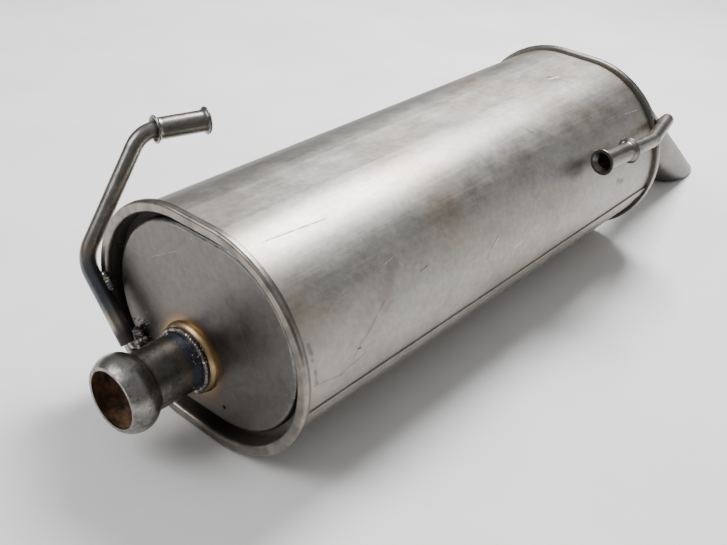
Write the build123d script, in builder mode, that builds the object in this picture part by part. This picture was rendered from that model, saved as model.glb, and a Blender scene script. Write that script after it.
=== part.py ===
"""Rear exhaust silencer: a flattened-oval double-skin body with lock-seamed end caps, a ball-flared
inlet pipe, a turned-down tail pipe, and two bent hanger rods that carry spool sleeves.

Millimetres. X runs along the gas flow, from the inlet towards the tail, and Z is up.
The origin is on the inlet pipe's axis, just past the neck where the ball flare meets the pipe.
Everything is welded, pressed or folded together, so nothing on the silencer moves.
"""
from build123d import *
from math import cos, hypot, radians, sin, sqrt
import os

# ---------------------------------------------------------------- driving dimensions

PIPE_DIAMETER = 42.4        # inlet pipe and tail pipe
PIPE_WALL = 1.5
ROD_DIAMETER = 12.0         # hanger rods
WELD_GAP = 0.05             # keeps a bead's faces off the parts that it joins

# body
SHELL_WIDTH = 190.4         # across the flattened oval, along Y
SHELL_HEIGHT = 158.4        # along Z
BODY_LENGTH = 474.0         # over the faces of the two rims
BODY_Y = -12.0              # the body's centre line, seen from the inlet axis
BODY_Z = 30.5
RIM_FRONT_X = 25.8          # face of the front rim
OUTER_SKIN = 1.2
INNER_SKIN = 1.0
SKIN_GAP = 0.1
SEAM_WIDTH = 9.0            # lock seam along the outer skin, low on one flank
SEAM_HEIGHT = 1.2
SEAM_ANGLE = 17.0           # below level

# pressed end caps
CAP_SHEET = 1.3
RIM_PROUD = 4.2             # lock seam round the end, over the skin
RIM_LENGTH = 6.0
RIM_ROUND = 2.2             # edge of the rim's face
RIM_BACK_ROUND = 1.4
HEM_PROUD = 2.4             # the skin's hem inside that seam
GROOVE_DEPTH = 14.0         # groove inside the rim
PANEL_DEPTH = 7.0           # middle panel, behind the rim's face
PANEL_INSET = 9.8           # panel's edge, inside the skin's outline
PANEL_ROUND = 3.0
COLLAR_OUTER = 26.8         # raised collar round the pipe
COLLAR_RISE = 5.0
DRAIN_DIAMETER = 3.0
DRAIN_Y = -32.5
DRAIN_Z = -25.2

# inlet pipe and its ball flare
BALL_RADIUS = 27.5          # at the crest of the flare
BALL_CURVE = 15.0           # radius of its section
BALL_X = -22.5
MOUTH_X = -33.2
INLET_END_X = 60.0          # inside the body

# tail pipe
OUTLET_Y = -56.0
OUTLET_Z = 59.0
TAIL_INNER_X = 462.0
TAIL_STRAIGHT = 12.0        # from the panel to the bend
TAIL_BEND_RADIUS = 78.0
TAIL_ANGLE = 35.8           # below level
TAIL_CUT_Z = -50.8          # the end is cut level with the ground

# inside
TRANSFER_Y = 30.0
TRANSFER_Z = 62.0
FRONT_BAFFLE_X = 142.0
REAR_BAFFLE_X = 384.0
BAFFLE_SHEET = 1.2
BAFFLE_LIP = 10.0
TUBE_WALL = 1.2
TUBE_OVERRUN = 16.0         # each tube's free end, past its baffle
MESH_THICKNESS = 0.8
PERFORATION = 5.0
PERFORATION_PITCH = 20.0
PERFORATION_ROWS = 11

# hanger sleeves
SLEEVE_LENGTH = 40.0
SLEEVE_RADIUS = 8.0
SLEEVE_BORE = 6.1
FRONT_SLEEVE_FLANGE = 10.2  # radius
REAR_SLEEVE_FLANGE = 11.0
SLEEVE_FLARE = 5.0          # length of each flared end
SLEEVE_MOUTH = 4.0          # depth of the countersink where the rod goes in
MOUTH_FLARE = 2.4           # its extra radius at the mouth

# hanger rods: the corners of each centre line
FRONT_ROD_FOOT = (19.7, 51.3, -9.4)
FRONT_ROD_KNEE = (19.7, 95.8, 40.5)
FRONT_ROD_ELBOW = (73.6, 95.7, 120.6)
FRONT_SLEEVE_START = (83.4, 92.8, 120.6)
FRONT_SLEEVE_YAW = -16.7    # the sleeve's heading, from +X
FRONT_ROD_BENDS = (24.0, 21.0)
REAR_SLEEVE_START = (413.6, -114.9, 76.4)
REAR_SLEEVE_YAW = 173.6
REAR_ROD_HEEL = (449.0, -118.9, 76.4)
REAR_ROD_APEX = (505.9, -107.2, 78.8)
REAR_ROD_FOOT = (505.9, -78.0, 28.0)
REAR_ROD_BENDS = (26.0, 14.0)
REAR_ROD_IN_SLEEVE = 18.0   # the rest of the rear sleeve is open

# weld beads
WELD_RISE = 3.2             # a ring bead's height over its pipe
WELD_RADIUS = 2.6
RIM_BEAD_RADIUS = 3.4
RIM_BEAD_LENGTH = 9.0
RIM_BEAD_SPREAD = 4.8       # each side of the rod's centre line
FRONT_RIM_BEAD = 0.68       # place of the fillets, as a share of the rod's lowest run
REAR_RIM_BEAD = 0.68
FOOT_BEAD_RADIUS = 7.6
FOOT_BEAD_HEIGHT = 10.0

# ---------------------------------------------------------------- derived dimensions

PIPE_RADIUS = PIPE_DIAMETER / 2
PIPE_BORE = PIPE_RADIUS - PIPE_WALL
ROD_RADIUS = ROD_DIAMETER / 2
TUBE_BORE = PIPE_RADIUS + SKIN_GAP        # internal tubes slip over the pipe ends
TUBE_RADIUS = TUBE_BORE + TUBE_WALL
MESH_RADIUS = TUBE_RADIUS + SKIN_GAP + MESH_THICKNESS
RIM_REAR_X = RIM_FRONT_X + BODY_LENGTH
INNER_OFFSET = -OUTER_SKIN - SKIN_GAP     # outside face of the inner skin
LINER_OFFSET = INNER_OFFSET - INNER_SKIN  # inside face of the inner skin
WALL_OFFSET = LINER_OFFSET - SKIN_GAP     # outside face of a cap's groove wall
SKIN_END = CAP_SHEET + SKIN_GAP           # from a rim's face to the end of the skins

os.makedirs("parts", exist_ok=True)


def finish(builder, name):
    """Label a finished piece and write it as its own STEP file."""
    builder.part.label = name
    export_step(builder.part, f"parts/{name}.step")


def across(x, y=BODY_Y, z=BODY_Z, inward=1):
    """The plane across the body at x: its own axes are Y and Z, and it faces along inward * X."""
    return Plane((x, y, z), x_dir=(0, inward, 0), z_dir=(inward, 0, 0))


def outline(offset):
    """The body's flattened oval, grown by offset."""
    return SlotOverall(SHELL_WIDTH + 2 * offset, SHELL_HEIGHT + 2 * offset)


def outline_ring(plane, outer, inner):
    """A sketch of the band between two offsets of the body's oval."""
    with BuildSketch(plane) as band:
        outline(outer)
        with Locations((0, 0)):
            SlotOverall(SHELL_WIDTH + 2 * inner, SHELL_HEIGHT + 2 * inner, mode=Mode.SUBTRACT)
    return band.sketch


def outline_edges(builder, x, offset):
    """The builder's edges that lie at x on one offset of the body's oval."""
    half_flat = (SHELL_WIDTH - SHELL_HEIGHT) / 2
    reach = SHELL_HEIGHT / 2 + offset

    def lies_there(edge):
        middle = edge @ 0.5
        beyond = max(abs(middle.Y - BODY_Y) - half_flat, 0)
        off_line = hypot(beyond, middle.Z - BODY_Z) - reach
        return abs(middle.X - x) < 0.01 and abs(off_line) < 0.01

    return [edge for edge in builder.edges() if lies_there(edge)]


def step(start, heading, distance):
    """The point at a distance from start, along a level heading in degrees from +X."""
    x, y, z = start
    return (x + distance * cos(radians(heading)), y + distance * sin(radians(heading)), z)


# ---------------------------------------------------------------- body skins

SKIN_LENGTH = BODY_LENGTH - 2 * SKIN_END
HEM_LENGTH = RIM_LENGTH - SKIN_END - 0.6

with BuildPart() as outer_shell:
    extrude(outline_ring(across(RIM_FRONT_X + SKIN_END), 0, -OUTER_SKIN), amount=SKIN_LENGTH)
    # hems, folded outwards over each other inside the rims
    for face_x, inward in ((RIM_FRONT_X, 1), (RIM_REAR_X, -1)):
        hem_plane = across(face_x + inward * SKIN_END, inward=inward)
        extrude(outline_ring(hem_plane, HEM_PROUD, -OUTER_SKIN), amount=HEM_LENGTH)
    # lengthwise lock seam: a flat fold, standing on the round flank
    seam_y = BODY_Y - (SHELL_WIDTH - SHELL_HEIGHT) / 2
    seam_plane = Plane(
        (RIM_FRONT_X + RIM_LENGTH + SKIN_GAP, seam_y, BODY_Z),
        x_dir=(0, -cos(radians(SEAM_ANGLE)), -sin(radians(SEAM_ANGLE))),
        z_dir=(1, 0, 0),
    )
    with BuildSketch(seam_plane):
        with Locations((SHELL_HEIGHT / 2 + SEAM_HEIGHT / 2 - 0.4, 0)):
            RectangleRounded(SEAM_HEIGHT + 0.8, SEAM_WIDTH, 0.5)
    extrude(amount=BODY_LENGTH - 2 * RIM_LENGTH - 2 * SKIN_GAP)
finish(outer_shell, "outer_shell")

with BuildPart() as inner_shell:
    extrude(outline_ring(across(RIM_FRONT_X + SKIN_END), INNER_OFFSET, LINER_OFFSET), amount=SKIN_LENGTH)
finish(inner_shell, "inner_shell")

# ---------------------------------------------------------------- end caps


def press_cap(face_x, inward, pipe_y, pipe_z):
    """A pressed cap: rim, groove and panel, with a collar pulled out round the pipe's hole."""
    def depth(distance, y=BODY_Y, z=BODY_Z):
        return across(face_x + inward * distance, y, z, inward)

    back = GROOVE_DEPTH + CAP_SHEET
    with BuildPart() as cap:
        with BuildSketch(depth(0)):
            outline(RIM_PROUD)
        extrude(amount=back)
        fillet(outline_edges(cap, face_x, RIM_PROUD), RIM_ROUND)
        extrude(outline_ring(depth(RIM_LENGTH), RIM_PROUD + 1, WALL_OFFSET), amount=back, mode=Mode.SUBTRACT)
        fillet(outline_edges(cap, face_x + inward * RIM_LENGTH, RIM_PROUD), RIM_BACK_ROUND)
        channel = outline_ring(depth(CAP_SHEET), HEM_PROUD + SKIN_GAP, WALL_OFFSET)
        extrude(channel, amount=RIM_LENGTH, mode=Mode.SUBTRACT)
        groove = outline_ring(depth(0), WALL_OFFSET - CAP_SHEET, -PANEL_INSET)
        extrude(groove, amount=GROOVE_DEPTH, mode=Mode.SUBTRACT)
        with BuildSketch(depth(0)):
            outline(-PANEL_INSET)
        extrude(amount=PANEL_DEPTH, mode=Mode.SUBTRACT)
        fillet(outline_edges(cap, face_x, WALL_OFFSET - CAP_SHEET), RIM_ROUND)
        fillet(outline_edges(cap, face_x + inward * PANEL_DEPTH, -PANEL_INSET), PANEL_ROUND)
        # the panel's hollow back follows its rounded edge
        with BuildSketch(depth(back)):
            outline(-PANEL_INSET - CAP_SHEET)
        extrude(amount=-(back - PANEL_DEPTH - CAP_SHEET), mode=Mode.SUBTRACT)
        inside_x = face_x + inward * (PANEL_DEPTH + CAP_SHEET)
        fillet(outline_edges(cap, inside_x, -PANEL_INSET - CAP_SHEET), PANEL_ROUND - CAP_SHEET)
        # the collar is a quarter-round lip that turns out to the pipe
        panel_x = face_x + inward * PANEL_DEPTH
        pipe_axis = Axis((panel_x, pipe_y, pipe_z), (1, 0, 0))
        hole_radius = PIPE_RADIUS + SKIN_GAP
        with BuildSketch(depth(PANEL_DEPTH, pipe_y, pipe_z)):
            Circle(COLLAR_OUTER - CAP_SHEET)
        extrude(amount=CAP_SHEET, mode=Mode.SUBTRACT)
        with BuildSketch(Plane((panel_x, pipe_y, pipe_z), x_dir=(-inward, 0, 0), z_dir=(0, inward, 0))):
            with BuildLine():
                Line((-CAP_SHEET, COLLAR_OUTER), (0, COLLAR_OUTER))
                outer_lip = EllipticalCenterArc(
                    (0, hole_radius), COLLAR_RISE, COLLAR_OUTER - hole_radius, start_angle=0, arc_size=90)
                Line(outer_lip @ 0, (COLLAR_RISE - CAP_SHEET, hole_radius))
                inner_lip = EllipticalCenterArc(
                    (-CAP_SHEET, hole_radius), COLLAR_RISE, COLLAR_OUTER - CAP_SHEET - hole_radius,
                    start_angle=0, arc_size=90)
                Line(inner_lip @ 1, (-CAP_SHEET, COLLAR_OUTER))
            make_face()
        revolve(axis=pipe_axis)
    return cap


with BuildPart() as front_end_cap:
    add(press_cap(RIM_FRONT_X, 1, 0, 0).part)
    with BuildSketch(across(RIM_FRONT_X, DRAIN_Y, DRAIN_Z)):
        Circle(DRAIN_DIAMETER / 2)
    extrude(amount=GROOVE_DEPTH, mode=Mode.SUBTRACT)
finish(front_end_cap, "front_end_cap")

rear_end_cap = press_cap(RIM_REAR_X, -1, OUTLET_Y, OUTLET_Z)
finish(rear_end_cap, "rear_end_cap")

# ---------------------------------------------------------------- baffles and internal tubes

TUBE_AXES = ((0.0, 0.0), (OUTLET_Y, OUTLET_Z), (TRANSFER_Y, TRANSFER_Z))
BAFFLE_OFFSET = LINER_OFFSET - SKIN_GAP
BAFFLE_DRAIN = 6.0


def make_baffle(x, outward):
    """A flat plate with a lip turned towards its end of the body, and a hole for each tube."""
    with BuildPart() as baffle:
        with BuildSketch(across(x, inward=outward)):
            outline(BAFFLE_OFFSET)
        extrude(amount=BAFFLE_LIP)
        with BuildSketch(across(x + outward * BAFFLE_SHEET, inward=outward)):
            outline(BAFFLE_OFFSET - BAFFLE_SHEET)
        extrude(amount=BAFFLE_LIP, mode=Mode.SUBTRACT)
        for tube_y, tube_z in TUBE_AXES:
            with BuildSketch(across(x, tube_y, tube_z, outward)):
                Circle(TUBE_RADIUS + SKIN_GAP)
            extrude(amount=BAFFLE_SHEET, mode=Mode.SUBTRACT)
        drain_z = BODY_Z - SHELL_HEIGHT / 2 - BAFFLE_OFFSET + 2 * BAFFLE_DRAIN
        with BuildSketch(across(x, BODY_Y, drain_z, outward)):
            Circle(BAFFLE_DRAIN / 2)
        extrude(amount=BAFFLE_SHEET, mode=Mode.SUBTRACT)
    return baffle


front_baffle = make_baffle(FRONT_BAFFLE_X, -1)
finish(front_baffle, "front_baffle")

rear_baffle = make_baffle(REAR_BAFFLE_X, 1)
finish(rear_baffle, "rear_baffle")

MIDDLE_X = (FRONT_BAFFLE_X + REAR_BAFFLE_X) / 2


def make_tube(start_x, end_x, y, z, perforated):
    """A straight internal tube, perforated between the two baffles if it runs in the packing."""
    with BuildPart() as tube:
        with BuildSketch(across(start_x, y, z)):
            Circle(TUBE_RADIUS)
            Circle(TUBE_BORE, mode=Mode.SUBTRACT)
        extrude(amount=end_x - start_x)
        if perforated:
            for turn in range(4):
                angle = radians(45 * turn)
                flat = Plane((MIDDLE_X, y, z), x_dir=(1, 0, 0), z_dir=(0, cos(angle), sin(angle)))
                with BuildSketch(flat):
                    with GridLocations(PERFORATION_PITCH, 0, PERFORATION_ROWS, 1):
                        Circle(PERFORATION / 2)
                extrude(amount=TUBE_RADIUS + 1, both=True, mode=Mode.SUBTRACT)
    return tube


inlet_perforated_tube = make_tube(INLET_END_X - 12, REAR_BAFFLE_X + TUBE_OVERRUN, 0, 0, True)
finish(inlet_perforated_tube, "inlet_perforated_tube")

transfer_tube = make_tube(
    FRONT_BAFFLE_X - TUBE_OVERRUN, REAR_BAFFLE_X + TUBE_OVERRUN, TRANSFER_Y, TRANSFER_Z, False)
finish(transfer_tube, "transfer_tube")

outlet_perforated_tube = make_tube(
    FRONT_BAFFLE_X - TUBE_OVERRUN, TAIL_INNER_X + 12, OUTLET_Y, OUTLET_Z, True)
finish(outlet_perforated_tube, "outlet_perforated_tube")

PACKED_START_X = FRONT_BAFFLE_X + SKIN_GAP
PACKED_LENGTH = REAR_BAFFLE_X - FRONT_BAFFLE_X - 2 * SKIN_GAP


def make_mesh_wrap(y, z):
    """Steel wool mesh, wrapped round a perforated tube between the baffles."""
    with BuildPart() as wrap:
        with BuildSketch(across(PACKED_START_X, y, z)):
            Circle(MESH_RADIUS)
            Circle(TUBE_RADIUS + SKIN_GAP, mode=Mode.SUBTRACT)
        extrude(amount=PACKED_LENGTH)
    return wrap


inlet_mesh = make_mesh_wrap(0, 0)
finish(inlet_mesh, "inlet_mesh")

outlet_mesh = make_mesh_wrap(OUTLET_Y, OUTLET_Z)
finish(outlet_mesh, "outlet_mesh")

with BuildPart() as wool_packing:
    with BuildSketch(across(PACKED_START_X)):
        outline(BAFFLE_OFFSET)
    extrude(amount=PACKED_LENGTH)
    for tube_y, tube_z in TUBE_AXES:
        with BuildSketch(across(PACKED_START_X, tube_y, tube_z)):
            Circle(MESH_RADIUS + SKIN_GAP)
        extrude(amount=PACKED_LENGTH, mode=Mode.SUBTRACT)
finish(wool_packing, "wool_packing")

# ---------------------------------------------------------------- inlet pipe

NECK_ROUND = 2.5
BALL_CENTRE = BALL_RADIUS - BALL_CURVE
INNER_CURVE = BALL_CURVE - PIPE_WALL
NECK_X = BALL_X + sqrt(BALL_CURVE ** 2 - (PIPE_RADIUS - BALL_CENTRE) ** 2)
INNER_NECK_X = BALL_X + sqrt(INNER_CURVE ** 2 - (PIPE_BORE - BALL_CENTRE) ** 2)
MOUTH_DEPTH = BALL_X - MOUTH_X
INNER_BALL = BALL_RADIUS - PIPE_WALL
MOUTH_OUTER = BALL_CENTRE + sqrt(BALL_CURVE ** 2 - MOUTH_DEPTH ** 2)
MOUTH_INNER = BALL_CENTRE + sqrt(INNER_CURVE ** 2 - MOUTH_DEPTH ** 2)

with BuildPart() as inlet_pipe:
    with BuildSketch(Plane.XZ):
        with BuildLine():
            Line((MOUTH_X, MOUTH_INNER), (MOUTH_X, MOUTH_OUTER))
            ThreePointArc((MOUTH_X, MOUTH_OUTER), (BALL_X, BALL_RADIUS), (NECK_X, PIPE_RADIUS))
            Line((NECK_X, PIPE_RADIUS), (INLET_END_X, PIPE_RADIUS))
            Line((INLET_END_X, PIPE_RADIUS), (INLET_END_X, PIPE_BORE))
            Line((INLET_END_X, PIPE_BORE), (INNER_NECK_X, PIPE_BORE))
            ThreePointArc((INNER_NECK_X, PIPE_BORE), (BALL_X, INNER_BALL), (MOUTH_X, MOUTH_INNER))
        make_face()
    revolve(axis=Axis.X)
    neck = inlet_pipe.edges().filter_by(GeomType.CIRCLE)
    nearest = neck.sort_by(lambda edge: abs((edge @ 0).X - NECK_X) + abs(edge.radius - PIPE_RADIUS))[0]
    fillet(nearest, NECK_ROUND)
finish(inlet_pipe, "inlet_pipe")

# ---------------------------------------------------------------- tail pipe

TAIL_BEND_X = RIM_REAR_X - PANEL_DEPTH + TAIL_STRAIGHT
TAIL_TURN = TAIL_BEND_RADIUS * sin(radians(TAIL_ANGLE))
TAIL_DROP = TAIL_BEND_RADIUS * (1 - cos(radians(TAIL_ANGLE)))
TAIL_RUN = (OUTLET_Z - TAIL_DROP - TAIL_CUT_Z) / sin(radians(TAIL_ANGLE)) + PIPE_DIAMETER

with BuildPart() as tail_pipe:
    with BuildLine() as tail_line:
        lead = Line((TAIL_INNER_X, OUTLET_Y, OUTLET_Z), (TAIL_BEND_X, OUTLET_Y, OUTLET_Z))
        bend_end = (TAIL_BEND_X + TAIL_TURN, OUTLET_Y, OUTLET_Z - TAIL_DROP)
        half = radians(TAIL_ANGLE / 2)
        bend_middle = (
            TAIL_BEND_X + TAIL_BEND_RADIUS * sin(half),
            OUTLET_Y,
            OUTLET_Z - TAIL_BEND_RADIUS * (1 - cos(half)),
        )
        bend = ThreePointArc(lead @ 1, bend_middle, bend_end)
        down = Vector(cos(radians(TAIL_ANGLE)), 0, -sin(radians(TAIL_ANGLE)))
        Line(bend @ 1, (bend @ 1) + down * TAIL_RUN)
    with BuildSketch(across(TAIL_INNER_X, OUTLET_Y, OUTLET_Z)):
        Circle(PIPE_RADIUS)
        Circle(PIPE_BORE, mode=Mode.SUBTRACT)
    sweep(path=tail_line.wire())
    split(bisect_by=Plane((0, 0, TAIL_CUT_Z), z_dir=(0, 0, 1)), keep=Keep.TOP)
finish(tail_pipe, "tail_pipe")

# ---------------------------------------------------------------- hanger rods and sleeves


def bend_rod(corners, radii):
    """A round rod swept along straight runs with a bend at each inner corner."""
    with BuildPart() as rod:
        with BuildLine() as centre_line:
            FilletPolyline(*corners, radius=list(radii))
        start = centre_line.wire() @ 0
        with BuildSketch(Plane(start, z_dir=centre_line.wire() % 0)):
            Circle(ROD_RADIUS)
        sweep(path=centre_line.wire())
    return rod


def make_sleeve(start, heading, flange):
    """A spool: a tube with both ends flared, from start along a level heading."""
    run = (cos(radians(heading)), sin(radians(heading)), 0)
    side = Plane(start, x_dir=run, z_dir=(-run[1], run[0], 0))
    with BuildPart() as sleeve:
        with BuildSketch(side):
            with BuildLine():
                Line((0, SLEEVE_BORE + MOUTH_FLARE), (0, flange - 0.3))
                rolled_edge = ThreePointArc((0, flange - 0.3), (0.7, flange), (1.4, flange - 0.4))
                Spline(rolled_edge @ 1, (SLEEVE_FLARE, SLEEVE_RADIUS), tangents=((0.3, -1), (1, 0)))
                Polyline(
                    (SLEEVE_FLARE, SLEEVE_RADIUS),
                    (SLEEVE_LENGTH / 2, SLEEVE_RADIUS),
                    (SLEEVE_LENGTH / 2, SLEEVE_BORE),
                    (SLEEVE_MOUTH, SLEEVE_BORE),
                    (0, SLEEVE_BORE + MOUTH_FLARE),
                )
            make_face()
        revolve(axis=Axis(start, run))
        mirror(about=Plane(step(start, heading, SLEEVE_LENGTH / 2), z_dir=run))
    return sleeve


FRONT_ROD_END = step(FRONT_SLEEVE_START, FRONT_SLEEVE_YAW, SLEEVE_LENGTH - 2)
front_hanger_rod = bend_rod(
    (FRONT_ROD_FOOT, FRONT_ROD_KNEE, FRONT_ROD_ELBOW, FRONT_ROD_END), FRONT_ROD_BENDS)
finish(front_hanger_rod, "front_hanger_rod")

front_hanger_sleeve = make_sleeve(FRONT_SLEEVE_START, FRONT_SLEEVE_YAW, FRONT_SLEEVE_FLANGE)
finish(front_hanger_sleeve, "front_hanger_sleeve")

REAR_ROD_END = step(REAR_SLEEVE_START, REAR_SLEEVE_YAW, REAR_ROD_IN_SLEEVE)
rear_hanger_rod = bend_rod(
    (REAR_ROD_END, REAR_ROD_HEEL, REAR_ROD_APEX, REAR_ROD_FOOT), REAR_ROD_BENDS)
finish(rear_hanger_rod, "rear_hanger_rod")

rear_hanger_sleeve = make_sleeve(REAR_SLEEVE_START, REAR_SLEEVE_YAW, REAR_SLEEVE_FLANGE)
finish(rear_hanger_sleeve, "rear_hanger_sleeve")

# ---------------------------------------------------------------- weld beads


def ring_weld(cap, crest_x, y, z):
    """The bead between a pipe and the crest of its cap's collar."""
    with BuildPart() as bead:
        with BuildSketch(Plane((crest_x, y, z), x_dir=(1, 0, 0), z_dir=(0, -1, 0))):
            with Locations((0, PIPE_RADIUS + WELD_RISE - WELD_RADIUS)):
                Circle(WELD_RADIUS)
        revolve(axis=Axis((crest_x, y, z), (1, 0, 0)))
        with BuildSketch(across(crest_x, y, z)):
            Circle(PIPE_RADIUS + SKIN_GAP + WELD_GAP)
        extrude(amount=2 * WELD_RADIUS, both=True, mode=Mode.SUBTRACT)
        add(cap.part, mode=Mode.SUBTRACT)
        # what is left inside the collar goes
        add(bead.solids().sort_by(SortBy.VOLUME)[-1], mode=Mode.REPLACE)
    return bead


FRONT_CREST_X = RIM_FRONT_X + PANEL_DEPTH - COLLAR_RISE
inlet_weld = ring_weld(front_end_cap, FRONT_CREST_X, 0, 0)
finish(inlet_weld, "inlet_weld")

REAR_CREST_X = RIM_REAR_X - PANEL_DEPTH + COLLAR_RISE
tail_weld = ring_weld(rear_end_cap, REAR_CREST_X, OUTLET_Y, OUTLET_Z)
finish(tail_weld, "tail_weld")


def hanger_weld(foot, corner, share, face_x, inward, rod):
    """Two fillets where a rod's lowest run lies on the rim, and a bead from its foot to the panel."""
    foot_point = Vector(*foot)
    run = Vector(*corner) - foot_point
    crossing = foot_point + run * share
    clear_x = face_x - inward * WELD_GAP
    panel_x = clear_x + inward * PANEL_DEPTH
    with BuildPart() as bead:
        with BuildSketch(Plane((face_x, crossing.Y, crossing.Z), x_dir=(1, 0, 0), z_dir=run.normalized())):
            with Locations((0, RIM_BEAD_SPREAD), (0, -RIM_BEAD_SPREAD)):
                Circle(RIM_BEAD_RADIUS)
        extrude(amount=RIM_BEAD_LENGTH / 2, both=True)
        split(bisect_by=Plane((clear_x, 0, 0), z_dir=(-inward, 0, 0)), keep=Keep.TOP)
        with BuildSketch(across(panel_x, foot[1], foot[2], inward)):
            Circle(FOOT_BEAD_RADIUS)
        extrude(amount=-FOOT_BEAD_HEIGHT)
        add(rod.part, mode=Mode.SUBTRACT)
    return bead


front_hanger_weld = hanger_weld(
    FRONT_ROD_FOOT, FRONT_ROD_KNEE, FRONT_RIM_BEAD, RIM_FRONT_X, 1, front_hanger_rod)
finish(front_hanger_weld, "front_hanger_weld")

rear_hanger_weld = hanger_weld(
    REAR_ROD_FOOT, REAR_ROD_APEX, REAR_RIM_BEAD, RIM_REAR_X, -1, rear_hanger_rod)
finish(rear_hanger_weld, "rear_hanger_weld")
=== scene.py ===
"""A used car silencer on a pale floor: finishes for its steel parts, weld beads, light and camera.

Metres, in the silencer's own frame: X along the gas flow, Y away from the near flank, Z up.
"""

import logging
import random
from dataclasses import dataclass, field
from enum import Enum
from math import cos, hypot, radians, sin, tau

import bmesh
import bpy
from mathutils import Matrix, Vector, noise


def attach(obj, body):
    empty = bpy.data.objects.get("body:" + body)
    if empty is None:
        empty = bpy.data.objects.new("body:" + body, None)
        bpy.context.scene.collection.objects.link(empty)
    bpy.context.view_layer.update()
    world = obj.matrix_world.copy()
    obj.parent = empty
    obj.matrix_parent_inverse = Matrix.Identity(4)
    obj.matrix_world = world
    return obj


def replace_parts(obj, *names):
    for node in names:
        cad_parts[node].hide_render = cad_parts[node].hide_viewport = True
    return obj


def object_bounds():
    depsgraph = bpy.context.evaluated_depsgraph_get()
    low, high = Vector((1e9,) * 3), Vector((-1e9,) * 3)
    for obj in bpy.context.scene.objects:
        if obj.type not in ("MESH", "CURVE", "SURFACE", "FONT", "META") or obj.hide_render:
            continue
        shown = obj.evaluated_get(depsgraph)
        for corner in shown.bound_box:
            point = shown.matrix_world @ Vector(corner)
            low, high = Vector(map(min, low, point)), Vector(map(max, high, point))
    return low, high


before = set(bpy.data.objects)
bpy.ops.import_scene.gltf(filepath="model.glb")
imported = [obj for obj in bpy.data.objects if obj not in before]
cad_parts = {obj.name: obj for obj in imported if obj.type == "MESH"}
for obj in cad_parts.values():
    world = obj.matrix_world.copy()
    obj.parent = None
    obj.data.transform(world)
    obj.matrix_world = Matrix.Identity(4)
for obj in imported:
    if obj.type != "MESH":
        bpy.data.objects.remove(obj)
CAD_BOUNDS = [list(corner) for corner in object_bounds()]
MM = 0.001
log = logging.getLogger("silencer")

Colour = tuple[float, float, float]


def at(x: float, y: float, z: float) -> Vector:
    """A place given in millimetres."""
    return Vector((x, y, z)) * MM


# The body's section is a flattened oval round a level middle line, and its two ends mirror each other.
BODY_Y = -12 * MM
BODY_Z = 30.5 * MM
HALF_FLAT = 16 * MM         # half the length of the section's flat
BODY_MIDDLE_X = 262.8 * MM
TAIL_Y = -56 * MM
TAIL_Z = 59 * MM
FORWARD = Vector((-1.0, 0.0, 0.0))
BACKWARD = Vector((1.0, 0.0, 0.0))


# ---------------------------------------------------------------- shader graph


class Blend(Enum):
    """How one colour is laid over another."""

    MIX = "MIX"
    MULTIPLY = "MULTIPLY"


class Amount:
    """A number that varies over a surface, with arithmetic that adds its own nodes."""

    def __init__(self, graph: "Graph", socket: bpy.types.NodeSocket) -> None:
        """Wraps an output socket of the graph."""
        self.graph = graph
        self.socket = socket

    def _math(self, operation: str, *operands: "Amount | float") -> "Amount":
        """Adds one Math node.

        Args:
            operation: the Math node's operation.
            operands: its inputs, in order.

        Returns:
            The node's result.
        """
        made = self.graph.node(
            "ShaderNodeMath", {"operation": operation}, dict(enumerate(operands)))
        return Amount(self.graph, made.outputs[0])

    def __add__(self, other: "Amount | float") -> "Amount":
        """Self plus other."""
        return self._math("ADD", self, other)

    __radd__ = __add__

    def __sub__(self, other: "Amount | float") -> "Amount":
        """Self less other."""
        return self._math("SUBTRACT", self, other)

    def __rsub__(self, other: float) -> "Amount":
        """Other less self."""
        return self._math("SUBTRACT", other, self)

    def __mul__(self, other: "Amount | float") -> "Amount":
        """Self times other."""
        return self._math("MULTIPLY", self, other)

    __rmul__ = __mul__

    def __abs__(self) -> "Amount":
        """Self without its sign."""
        return self._math("ABSOLUTE", self)

    def at_least(self, other: "Amount | float") -> "Amount":
        """The larger of self and other."""
        return self._math("MAXIMUM", self, other)

    def at_most(self, other: "Amount | float") -> "Amount":
        """The smaller of self and other."""
        return self._math("MINIMUM", self, other)

    def root(self) -> "Amount":
        """The square root of self."""
        return self._math("SQRT", self)

    def rise(self, low: float, high: float) -> "Amount":
        """A soft step.

        Args:
            low: where the step is 0.
            high: where it is 1; below low, the step falls instead.

        Returns:
            A value from 0 to 1.
        """
        made = self.graph.node(
            "ShaderNodeMapRange",
            {"interpolation_type": "SMOOTHSTEP", "clamp": True},
            {"Value": self, "From Min": min(low, high), "From Max": max(low, high)},
        )
        step = Amount(self.graph, made.outputs[0])
        return step if high > low else 1.0 - step


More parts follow.
